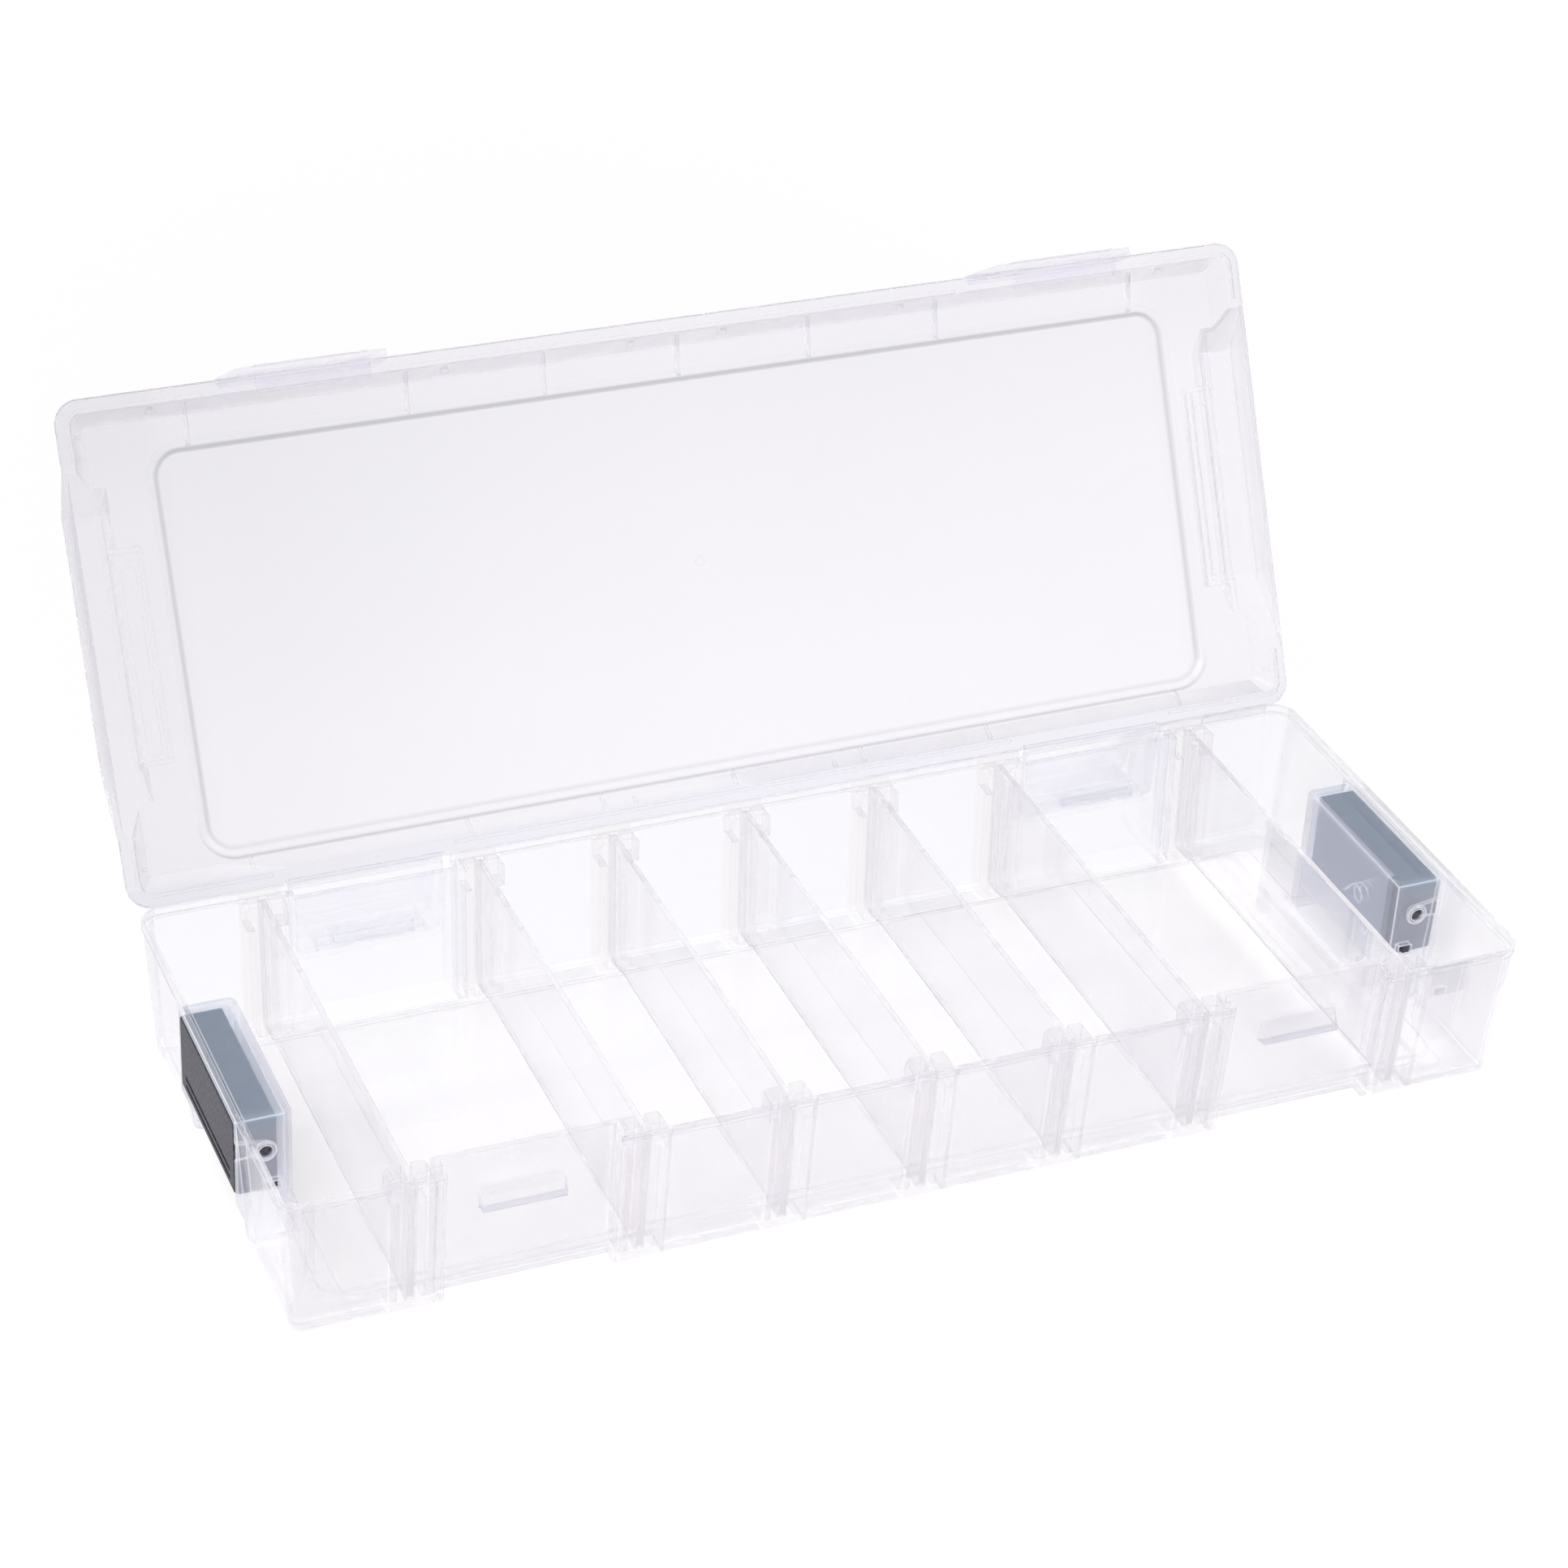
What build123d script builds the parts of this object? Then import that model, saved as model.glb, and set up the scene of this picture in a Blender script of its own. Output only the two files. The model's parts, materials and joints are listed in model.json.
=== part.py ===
"""Clear compartment case for small parts, standing open.

Millimetres. X runs along the length, Y from front to rear, Z up. The origin is the centre of the
underside. The tray stands on its foot ring, and the lid is swung back to its open place.
"""

import os
from math import cos, pi, sin, sqrt

from build123d import *

# Driving dimensions of the whole case
case_length = 380.0  # over the rim of the tray
case_depth = 147.4  # over the rim of the tray
rim_height = 47.0
open_angle = 117.0  # the lid leans back on its stop
clip_tilt = 5.5  # free clips spring outward by this much

# Tray walls
wall = 2.0
floor_thickness = 2.0
rim_corner = 7.0  # plan corner radius at the rim
lip_overhang = 0.3  # rim beyond the outer wall face
lip_height = 2.6
draft_run = 2.9  # inward lean of the walls over their full height
rim_edge = 1.0  # width of the raised outer part of the rim
rim_step = 2.2  # depth of the step inside it
rim_step_end = 3.8  # and where the step ends, from the rim's edge
foot_ring = 10.2
ring_corner = 5.0
floor_step = 1.0  # the middle of the floor is raised by this much
bottom_round = 3.0  # outside
floor_bevel = 1.2  # inside

# Set-back stretches of the front and rear walls, where the clips hook on
setback = 6.6
setback_start = 94.0
setback_end = 144.0
catch_length = 24.5
catch_reach = 3.4
catch_base = 27.5
catch_nose = 1.4
catch_top = 34.0

# Pillars and dividers
divider_x = (-153.0, -86.0, -43.0, 0.0, 43.0, 86.0, 153.0)
divider_thickness = 1.8
divider_top = 45.4
divider_round = 1.0
pillar_width = 12.5
pillar_head = 8.0
pillar_top = 46.7
pillar_bevel = 1.2
slot_width = 2.4
ridge_width = 2.6
seat_gap = 0.3  # running space round a divider

# Side latches and their pockets
latch_length = 53.0
latch_bottom = 16.5
latch_top = 41.5
latch_inner = 177.5  # distance from the middle of the case to the back of the latch
latch_skin = 1.7
latch_rib = 1.2
latch_rib_y = 9.0
grip_groove = 1.3
grip_depth = 0.6
grip_heights = (3.6, 6.4)  # above the latch's lower edge
grip_margin = 4.0
latch_bevel = 0.5
latch_end_bevel = 0.3
pocket_gap = 0.35
pocket_back = 175.2  # outer face of the pocket's rear wall
pocket_round = 2.5
pocket_shoulder = 1.5
pocket_inset = 0.4  # the pocket's cheeks end this far inside the rim
cheek_start = 2.0  # they reach out that far from this distance under the latch
pivot_x = 181.5
pivot_z = 32.0
pin_radius = 2.0
pin_play = 0.06
boss_radius = 3.1
boss_height = 0.8
entry_drop = 0.6  # the slots that the pins come in by widen outward, down and up
entry_rise = 1.4
peg_z = 19.0
peg_x = 180.0
peg_size = 2.2
window_width = 4.2
window_height = 3.4
pin_end_gap = 0.1
spring_seat = 3.0  # stub inside the latch that the spring sits on

# Springs behind the latches
spring_z = 22.0
spring_radius = 3.1  # to the middle of the wire
wire = 0.7
wire_sides = 6
spring_turns = 4
spring_end = 0.7
spring_gap = 0.05

# Lid, described shut, from the rear hinge axis: Y toward the front is negative, Z up
hinge_out = 0.3  # the hinge axes lie this far outside the rim
lid_gap = 0.3
lid_edge = 0.5  # flange beyond each hinge axis
lid_length = 383.0
lid_corner = 7.5  # plan corner radius at the edge of the flange
lid_inner_corner = 1.5  # the radius shrinks inward no further than this
lid_skin = 1.5
flange_height = 2.0
flange_bevel = 0.5
lid_inside = 5.0  # height of the plate above the rim plane
slope_foot = 4.2  # the sloped walls start this far in, at the rim plane
slope_run = 4.9
tongue_inset = 3.1  # clears the raised outer part of the rim
tongue_width = 1.0
tongue_depth = 1.2
panel_half = 164.0
panel_rear = 11.4
panel_front = 130.7
panel_raise = 1.2
panel_slope = 2.2
panel_corner = 8.0
hump_inner = 178.5
hump_foot_rear = 17.0
hump_top_rear = 41.0
hump_top_front = 114.0
hump_foot_front = 130.0
hump_height = 13.0
hump_round = 1.2
ledge_inner = 172.3
ledge_rear = 41.5
ledge_front = 102.5
ledge_raise = 2.0
oval_width = 4.4  # shallow oval recess in the ledge
oval_inset = 1.0
oval_rear = 42.5
oval_front = 98.5
oval_depth = 0.4
lid_rib = 1.0
rib_reach = 17.8
stud_x = (-163.5, -74.0, -15.0, 15.0, 74.0, 163.5)
stud_width = 2.0
stud_step = 2.0  # the short webs end this far down the slope
stub_x = 33.0
end_ribs = (11.0, 137.5)
gate_radius = 1.5
gate_height = 0.3
rib_start = 0.9  # lower edge of the lid's webs above the rim plane
rib_foot = 0.8  # width of their foot
rib_fall = 1.0  # depth of their inner end
rib_root = 0.3  # they run this far into the lid's skin

# Snap clips
clip_start = 96.5
clip_root = 47.0
clip_tip = 45.0
clip_drop = 25.0
clip_thickness = 3.0
bead_radius = 0.9
bead_play = 0.06
hook_gap = 0.4
hook_height = 4.2
hook_bite = 1.7
hook_width = 34.0
grip_radius = 0.5
grip_rise = (3.0, 5.5)  # above the clip's lower edge
clip_corner = 3.0
clip_bevel = 0.5
hook_root = 0.1

half_length = case_length / 2
half_depth = case_depth / 2
hinge_y = half_depth + hinge_out
lid_depth = 2 * hinge_y + 2 * lid_edge
lid_middle = -hinge_y
clip_centre = clip_start + clip_root / 2


def spread(height, inset):
    """Distance in plan from the rim's edge to the drafted wall face, inset inward, at a height."""
    return lip_overhang + draft_run * (1 - height / rim_height) + inset


def rim_outline(inset, mode=Mode.ADD):
    """Rounded outline of the rim, inset from its edge."""
    RectangleRounded(case_length - 2 * inset, case_depth - 2 * inset, rim_corner - inset, mode=mode)


def tray_outline(height, inset):
    """Rounded outline of the drafted walls at one height."""
    rim_outline(spread(height, inset))


def wall_y(height, inset):
    """Distance from the middle of the case to the long walls at one height."""
    return half_depth - spread(height, inset)


def wall_slice(low, high, inset, beyond=0.0):
    """Side view of what lies outside a drafted long wall face, between two heights."""
    Polygon(
        (half_depth + beyond, low),
        (wall_y(low, inset), low),
        (wall_y(high, inset), high),
        (half_depth + beyond, high),
        align=None,
    )


def box_outline(low_x, high_x, half_width):
    """Rectangle in plan between two values of X, centred on the X axis."""
    with Locations(((low_x + high_x) / 2, 0)):
        Rectangle(abs(high_x - low_x), 2 * half_width)


catch_tip = wall_y(catch_base, setback) + catch_reach

# One slotted pillar of the rear wall, with a wide head above two ridges
with BuildPart() as pillar:
    with BuildSketch(Plane.YZ):
        wall_slice(0, pillar_top, wall + setback)
    extrude(amount=ridge_width + slot_width / 2, both=True)
    with BuildSketch(Plane.YZ):
        wall_slice(pillar_top - pillar_head, pillar_top, wall + setback)
    extrude(amount=pillar_width / 2, both=True)
    chamfer(pillar.edges().filter_by(Axis.Y).group_by(Axis.Z)[-1], pillar_bevel)
    with BuildSketch(Plane.XY):
        with Locations((0, half_depth)):
            Rectangle(slot_width, case_depth)
    extrude(amount=rim_height, mode=Mode.SUBTRACT)

# The open inside of the tray: what the pillars, set-back walls and latch pockets leave free
with BuildPart() as tray_core:
    with BuildSketch(Plane.XY.offset(floor_thickness)):
        tray_outline(floor_thickness, wall)
    with BuildSketch(Plane.XY.offset(rim_height + 1)):
        tray_outline(rim_height + 1, wall)
    loft(ruled=True)
    chamfer(tray_core.faces().sort_by(Axis.Z)[0].edges(), floor_bevel)
    with BuildSketch(Plane.XY):
        ring = spread(floor_thickness, wall) + foot_ring
        RectangleRounded(case_length - 2 * ring, case_depth - 2 * ring, ring_corner)
    extrude(amount=floor_thickness + floor_step, mode=Mode.SUBTRACT)
    for start in (setback_start - wall, -setback_end - wall):
        with BuildSketch(Plane.YZ.offset(start)):
            wall_slice(0, rim_height + 2, wall + setback)
            mirror(about=Plane.YZ)
        extrude(amount=setback_end - setback_start + 2 * wall, mode=Mode.SUBTRACT)
    with Locations([Location((x, 0, 0)) for x in divider_x]):
        add(pillar.part, mode=Mode.SUBTRACT)
    with Locations([Location((x, 0, 0), (0, 0, 180)) for x in divider_x]):
        add(pillar.part, mode=Mode.SUBTRACT)

# Housing of the right latch pocket as a solid block with rounded shoulders
pocket_roof = latch_top + pocket_gap + wall
cheek_inside = latch_length / 2 + pocket_gap
cheek_outside = cheek_inside + wall
pocket_inner = pocket_back - wall
with BuildPart() as latch_housing:
    with BuildSketch(Plane.XZ):
        Polygon(
            (pocket_inner, 0),
            (half_length - spread(0, wall), 0),
            (half_length - pocket_inset, latch_bottom - cheek_start),
            (half_length - pocket_inset, pocket_roof),
            (pocket_inner, pocket_roof),
            align=None,
        )
    extrude(amount=cheek_outside, both=True)
    fillet(latch_housing.edges().filter_by(Axis.Z).group_by(Axis.X)[0], pocket_round)
    shoulder = latch_housing.faces().sort_by(Axis.Z)[-1].edges()
    fillet(shoulder - shoulder.group_by(Axis.X)[-1], pocket_shoulder)

# Open space of the right pocket: the latch's bay, the bearing holes with their entry slots,
# and the windows that the stop pegs move in
with BuildPart() as latch_bay:
    with BuildSketch(Plane.XY.offset(-1)):
        box_outline(pocket_back, half_length + 1, cheek_inside)
    extrude(amount=latch_top + pocket_gap + 1)
    with BuildSketch(Plane.XZ) as bearing_holes:
        with Locations((pivot_x, pivot_z)):
            Circle(pin_radius + pin_play)
        with Locations((peg_x - (window_width - peg_size) / 2 + pocket_gap, peg_z)):
            Rectangle(window_width, window_height)
    extrude(amount=cheek_outside + boss_height + 1, both=True)
    with BuildSketch(Plane.XZ):
        Polygon(
            (pivot_x, pivot_z - pin_radius),
            (half_length + 1, pivot_z - pin_radius - entry_drop),
            (half_length + 1, pivot_z + pin_radius + entry_rise),
            (pivot_x, pivot_z + pin_radius),
            align=None,
        )
    extrude(amount=cheek_inside + wall / 2, both=True)

with BuildPart() as base_tray:
    with BuildSketch(Plane.XY):
        tray_outline(0, 0)
    with BuildSketch(Plane.XY.offset(rim_height)):
        tray_outline(rim_height, 0)
    loft(ruled=True)
    fillet(base_tray.faces().sort_by(Axis.Z)[0].edges(), bottom_round)
    with BuildSketch(Plane.XY.offset(rim_height - lip_height)):
        rim_outline(0)
    extrude(amount=lip_height)
    # Step inside the raised rim, where the tongue of the lid sits
    with BuildSketch(Plane.XY.offset(rim_height - rim_step)):
        rim_outline(rim_edge)
        rim_outline(rim_step_end, mode=Mode.SUBTRACT)
    extrude(amount=rim_step, mode=Mode.SUBTRACT)
    for start in (setback_start, -setback_end):
        with BuildSketch(Plane.YZ.offset(start)):
            wall_slice(-1, rim_height + 1, setback, beyond=2.0)
            mirror(about=Plane.YZ)
        extrude(amount=setback_end - setback_start, mode=Mode.SUBTRACT)
    add(tray_core.part, mode=Mode.SUBTRACT)
    with Locations([Location((0, 0, 0)), Location((0, 0, 0), (0, 0, 180))]):
        add(latch_housing.part)
    with BuildSketch(Plane.XZ):
        for side in (-1, 1):
            with Locations((side * pivot_x, pivot_z)):
                Circle(boss_radius)
    extrude(amount=cheek_outside + boss_height, both=True)
    with Locations([Location((0, 0, 0)), Location((0, 0, 0), (0, 0, 180))]):
        add(latch_bay.part, mode=Mode.SUBTRACT)
    # Hollow under the raised middle of the floor, which leaves a foot ring
    with BuildSketch(Plane.XY):
        hollow = spread(0, 0) + foot_ring
        RectangleRounded(2 * (pocket_inner - 2 * wall), case_depth - 2 * hollow, ring_corner)
    extrude(amount=floor_step, mode=Mode.SUBTRACT)
    # Catch bars: a ramp for the clip to ride over, and a square underside that holds it
    for start in (clip_centre - catch_length / 2, -clip_centre - catch_length / 2):
        with BuildSketch(Plane.YZ.offset(start)):
            Polygon(
                (wall_y(catch_base, setback + wall / 2), catch_base),
                (catch_tip, catch_base),
                (catch_tip, catch_base + catch_nose),
                (wall_y(catch_top, setback), catch_top),
                (wall_y(catch_top, setback + wall / 2), catch_top),
                align=None,
            )
            mirror(about=Plane.YZ)
        extrude(amount=catch_length)

# A loose divider: follows the lean of the walls and steps over the raised floor
with BuildPart() as divider:
    with BuildSketch(Plane.YZ):
        foot = floor_thickness + seat_gap
        step_y = half_depth - spread(floor_thickness, wall) - foot_ring + 2 * seat_gap
        corner = foot + bottom_round / 2
        Polygon(
            (0, foot + floor_step),
            (step_y, foot + floor_step),
            (step_y, foot),
            (wall_y(foot, wall + seat_gap + bottom_round / 2), foot),
            (wall_y(corner, wall + seat_gap), corner),
            (wall_y(divider_top, wall + seat_gap), divider_top),
            (0, divider_top),
            align=None,
        )
        mirror(about=Plane.YZ)
    extrude(amount=divider_thickness / 2, both=True)
    fillet(divider.edges().filter_by(Axis.X).group_by(Axis.Z)[-1], divider_round)


slope_rate = slope_run / lid_inside
flange_top = lid_gap + flange_height
plate_top = lid_inside + lid_skin


def slope_inset(height, thickness):
    """Inset of the lid's sloped walls at one height, on their inner face or thickness outside it."""
    return slope_foot + slope_rate * height - thickness * sqrt(1 + slope_rate**2)


def lid_outline(inset, mode=Mode.ADD):
    """Rounded outline of the shut lid, inset from the edge of its flange."""
    with Locations((0, lid_middle)):
        RectangleRounded(
            lid_length - 2 * inset,
            lid_depth - 2 * inset,
            max(lid_corner - inset, lid_inner_corner),
            mode=mode,
        )


def panel_outline(margin):
    """Outline of the raised panel of the lid, grown by a margin."""
    with Locations((0, -(panel_front + panel_rear) / 2)):
        RectangleRounded(
            2 * (panel_half + margin),
            panel_front - panel_rear + 2 * margin,
            panel_corner + margin,
        )


def end_rectangle(rear, front, inner, outer):
    """Rectangle in plan at the right end of the shut lid."""
    with Locations(((inner + outer) / 2, -(rear + front) / 2)):
        Rectangle(outer - inner, front - rear)


# Outer form of the right-hand hump and of the low step beside it
with BuildPart() as hump:
    with BuildSketch(Plane.XY.offset(lid_gap)):
        end_rectangle(hump_foot_rear, hump_foot_front, hump_inner - lid_skin, lid_length / 2)
    with BuildSketch(Plane.XY.offset(hump_height)):
        end_rectangle(hump_top_rear, hump_top_front, hump_inner + lid_skin, lid_length / 2)
    loft(ruled=True)
    fillet(hump.faces().sort_by(Axis.Z)[-1].edges(), hump_round)
    with BuildSketch(Plane.XY.offset(lid_inside)):
        end_rectangle(ledge_rear - lid_skin, ledge_front + lid_skin, ledge_inner - lid_skin, hump_inner + 1)
    extrude(amount=lid_skin + ledge_raise)

# The hollow inside them
with BuildPart() as hump_hollow:
    with BuildSketch(Plane.XY):
        end_rectangle(
            hump_foot_rear + 2 * lid_skin,
            hump_foot_front - 2 * lid_skin,
            hump_inner,
            lid_length / 2 - lid_skin,
        )
    with BuildSketch(Plane.XY.offset(hump_height - lid_skin)):
        end_rectangle(
            hump_top_rear + lid_skin,
            hump_top_front - lid_skin,
            hump_inner + 2 * lid_skin,
            lid_length / 2 - lid_skin,
        )
    loft(ruled=True)
    with BuildSketch(Plane.XY.offset(lid_inside - 1)):
        end_rectangle(ledge_rear, ledge_front, ledge_inner, hump_inner + 2 * lid_skin)
    extrude(amount=ledge_raise + 1)
    with BuildSketch(Plane.XY.offset(lid_inside + ledge_raise)):
        with Locations((ledge_inner + oval_inset + oval_width / 2, -(oval_rear + oval_front) / 2)):
            SlotOverall(oval_front - oval_rear, oval_width, rotation=90)
    extrude(amount=oval_depth)


def gusset(reach, thickness):
    """Thin web under a sloped wall of the lid; the flange edge is at Y 0 and the inside toward +Y."""
    foot = slope_inset(rib_start, 0)
    surface = min(lid_inside, (reach - slope_foot) / slope_rate)
    with BuildPart() as web:
        with BuildSketch(Plane.YZ):
            Polygon(
                (foot - rib_root, rib_start),
                (foot + rib_foot, rib_start),
                (reach, surface - rib_fall),
                (reach, surface + rib_root),
                (min(reach, slope_foot + slope_run) - rib_root, surface + rib_root),
                align=None,
            )
        extrude(amount=thickness / 2, both=True)
    return web.part


front_edge = lid_edge - lid_depth
front_ribs = [Location((x, front_edge, 0)) for x in divider_x]
rear_ribs = [Location((x, lid_edge, 0), (0, 0, 180)) for x in divider_x]
front_studs = [Location((x, front_edge, 0)) for x in stud_x]
rear_stubs = [Location((x, lid_edge, 0), (0, 0, 180)) for x in (-stub_x, stub_x)]
side_ribs = [Location((side * lid_length / 2, -v, 0), (0, 0, side * 90)) for side in (-1, 1) for v in end_ribs]

with BuildPart() as shut_lid:
    with BuildSketch(Plane.XY.offset(lid_gap)):
        lid_outline(0)
    extrude(amount=flange_height)
    chamfer(shut_lid.faces().sort_by(Axis.Z)[-1].edges(), flange_bevel)
    for height in (flange_top - 0.2, plate_top):
        with BuildSketch(Plane.XY.offset(height)):
            lid_outline(slope_inset(height, lid_skin))
    loft(ruled=True)
    for height, margin in ((plate_top, panel_slope), (plate_top + panel_raise, 0)):
        with BuildSketch(Plane.XY.offset(height)):
            panel_outline(margin)
    loft(ruled=True)
    # Mark left by the moulding gate
    with BuildSketch(Plane.XY.offset(plate_top + panel_raise)):
        with Locations((0, lid_middle)):
            Circle(gate_radius)
    extrude(amount=gate_height)
    add(hump.part)
    mirror(hump.part, about=Plane.YZ)
    # Tongue that drops into the step of the rim
    with BuildSketch(Plane.XY.offset(-tongue_depth)):
        lid_outline(tongue_inset)
        lid_outline(tongue_inset + tongue_width, mode=Mode.SUBTRACT)
    extrude(amount=tongue_depth + flange_top - 0.5)
    # Hollow of the dish, the panel and the humps
    for height in (0, lid_inside):
        with BuildSketch(Plane.XY.offset(height)):
            lid_outline(slope_inset(height, 0))
    loft(ruled=True, mode=Mode.SUBTRACT)
    for height, margin in ((lid_inside - 0.2, panel_slope), (lid_inside + panel_raise, 0)):
        with BuildSketch(Plane.XY.offset(height)):
            panel_outline(margin - lid_skin / 3)
    loft(ruled=True, mode=Mode.SUBTRACT)
    add(hump_hollow.part, mode=Mode.SUBTRACT)
    mirror(hump_hollow.part, about=Plane.YZ, mode=Mode.SUBTRACT)
    # The tongue gives way to the clips and the latch pockets
    with BuildSketch(Plane.XY.offset(-tongue_depth)):
        with Locations((0, lid_middle)):
            with Locations((clip_centre, 0), (-clip_centre, 0)):
                Rectangle(setback_end - setback_start + 3 * wall, lid_depth)
            Rectangle(lid_length, hump_foot_front - hump_foot_rear)
    extrude(amount=tongue_depth + lid_gap, mode=Mode.SUBTRACT)
    with Locations(front_ribs):
        add(gusset(rib_reach, lid_rib))
    with Locations(rear_ribs):
        add(gusset(slope_foot + slope_run + rib_foot, lid_rib))
    with Locations(front_studs):
        add(gusset(slope_foot + slope_run - stud_step, stud_width))
    with Locations(rear_stubs + side_ribs):
        add(gusset(slope_foot + slope_run - stud_step, lid_rib))
    # Grooves that the hinge beads of the clips turn in
    with BuildSketch(Plane.YZ):
        with Locations((0, 0), (2 * lid_middle, 0)):
            Circle(bead_radius + bead_play)
    hinge_grooves = extrude(amount=case_length, both=True, mode=Mode.PRIVATE)
    with BuildSketch(Plane.XY):
        with Locations((clip_centre, lid_middle), (-clip_centre, lid_middle)):
            Rectangle(clip_root + 2, 2 * lid_depth)
    groove_zone = extrude(amount=flange_height, both=True, mode=Mode.PRIVATE)
    add(hinge_grooves & groove_zone, mode=Mode.SUBTRACT)

# A snap clip as it hangs at the rear right: hinge bead on the X axis, its outer face toward +Y
hook_top = catch_base - hook_gap - rim_height
hook_tip = catch_tip - hook_bite - hinge_y
clip_inner = bead_radius - clip_thickness
clip_top = -(bead_radius + lid_gap)
with BuildPart() as clip:
    with BuildSketch(Plane.YZ):
        Circle(bead_radius)
        with Locations((0, clip_top)):
            Rectangle(bead_radius, 2 * bead_radius)
        Polygon(
            (clip_inner, clip_top),
            (bead_radius - clip_bevel, clip_top),
            (bead_radius, clip_top - clip_bevel),
            (bead_radius, -clip_drop),
            (clip_inner, -clip_drop),
            align=None,
        )
    extrude(amount=clip_root / 2, both=True)
    with BuildSketch(Plane.XZ):
        Polygon(
            (-clip_root / 2, bead_radius),
            (clip_root / 2, bead_radius),
            (clip_tip / 2, -clip_drop),
            (-clip_tip / 2, -clip_drop),
            align=None,
        )
    extrude(amount=clip_thickness, both=True, mode=Mode.INTERSECT)
    fillet(clip.edges().filter_by(Axis.Y).group_by(Axis.Z)[0], clip_corner)
    with BuildSketch(Plane.YZ):
        Polygon(
            (clip_inner + hook_root, hook_top),
            (hook_tip, hook_top),
            (hook_tip, hook_top - hook_bite),
            (clip_inner + hook_root, hook_top - hook_height),
            align=None,
        )
        with Locations([(bead_radius, rise - clip_drop) for rise in grip_rise]):
            Circle(grip_radius)
    extrude(amount=hook_width / 2, both=True)

# The right-hand side latch: a shell open to the rear, with stub pins and stop pegs on its ends
latch_face = half_length - 0.1
with BuildPart() as latch:
    with BuildSketch(Plane.XZ):
        Polygon(
            (latch_inner, latch_bottom),
            (latch_face - 2 * latch_bevel, latch_bottom + latch_bevel),
            (latch_face, latch_bottom + 3 * latch_bevel),
            (latch_face, latch_top - latch_bevel),
            (latch_face - latch_bevel, latch_top),
            (latch_inner + latch_bevel, latch_top),
            (latch_inner, latch_top - latch_bevel),
            align=None,
        )
    extrude(amount=latch_length / 2, both=True)
    with BuildSketch(Plane.XZ):
        with Locations((pivot_x, pivot_z)):
            Circle(pin_radius)
        with Locations((peg_x, peg_z)):
            Rectangle(peg_size, peg_size)
    extrude(amount=cheek_outside - pin_end_gap, both=True)
    with BuildSketch(Plane.XZ):
        with Locations(((latch_face - latch_skin + latch_inner - 1) / 2, (latch_bottom + latch_top) / 2)):
            Rectangle(latch_face - latch_skin - latch_inner + 1, latch_top - latch_bottom - 2 * latch_skin)
    extrude(amount=latch_length / 2 - latch_skin, both=True, mode=Mode.SUBTRACT)
    for rib_y in (-latch_rib_y, latch_rib_y):
        with BuildSketch(Plane.XZ.offset(rib_y - latch_rib / 2)):
            with Locations((latch_face - latch_skin / 2, (latch_bottom + latch_top) / 2)):
                Rectangle(
                    latch_face - latch_inner - 2,
                    latch_top - latch_bottom - latch_skin,
                    align=(Align.MAX, Align.CENTER),
                )
        extrude(amount=latch_rib)
    with BuildSketch(Plane.YZ.offset(latch_face - latch_skin / 2)):
        with Locations((0, spring_z)):
            Circle(spring_radius - wire)
    extrude(amount=-latch_skin / 2 - spring_seat)
    with BuildSketch(Plane.YZ.offset(latch_face - grip_depth)):
        with Locations([(0, latch_bottom + height) for height in grip_heights]):
            Rectangle(latch_length - 2 * grip_margin, grip_groove)
    extrude(amount=1, mode=Mode.SUBTRACT)
    chamfer(latch.faces().filter_by(Axis.Y).group_by(Axis.Y)[0].edges(), latch_end_bevel)
    chamfer(latch.faces().filter_by(Axis.Y).group_by(Axis.Y)[-1].edges(), latch_end_bevel)


def biarc(start, start_way, end, end_way):
    """Two arcs that join two points and leave and arrive in the given directions."""
    chord = end - start
    ways = start_way + end_way
    bend = 2 * (1 - start_way.dot(end_way))
    along = chord.dot(ways)
    reach = (sqrt(along**2 + bend * chord.dot(chord)) - along) / bend
    middle = (start + end) / 2 + (start_way - end_way) * (reach / 2)
    middle_way = (end - end_way * reach) - (start + start_way * reach)
    TangentArc(start, middle, tangent=start_way)
    TangentArc(middle, end, tangent=middle_way.normalized())


# A latch spring, from the pocket wall outward along +X; its ends run straight into their seats
spring_length = latch_face - latch_skin - spring_gap - pocket_back
half_turns = 2 * spring_turns - 1
lead = 2 * wire + spring_end / 2
pitch = (spring_length - 2 * spring_end - 2 * lead) / (half_turns / 2)
lead_angle = pi / 3
helix_start = spring_end + lead


def coil_point(angle):
    """Point of the wire's centre line at an angle of the even turns."""
    x = helix_start + pitch * (angle - lead_angle) / (2 * pi)
    return Vector(x, spring_radius * cos(angle), spring_radius * sin(angle))


def coil_way(angle):
    """Direction of the wire at that angle."""
    return Vector(pitch / (2 * pi), -spring_radius * sin(angle), spring_radius * cos(angle)).normalized()


straight = Vector(1, 0, 0)
last_angle = lead_angle + half_turns * pi
end_angle = last_angle + lead_angle
with BuildPart() as spring:
    with BuildLine() as centre_line:
        first = Vector(0, spring_radius, 0)
        Line(first, first + straight * spring_end)
        biarc(first + straight * spring_end, straight, coil_point(lead_angle), coil_way(lead_angle))
        for half_turn in range(half_turns):
            angle = lead_angle + half_turn * pi
            following = angle + pi
            biarc(coil_point(angle), coil_way(angle), coil_point(following), coil_way(following))
        last = Vector(spring_length, spring_radius * cos(end_angle), spring_radius * sin(end_angle))
        biarc(coil_point(last_angle), coil_way(last_angle), last - straight * spring_end, straight)
        Line(last - straight * spring_end, last)
    with BuildSketch(Plane(origin=first, z_dir=(1, 0, 0))):
        RegularPolygon(wire / 2, wire_sides)
    sweep()

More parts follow.
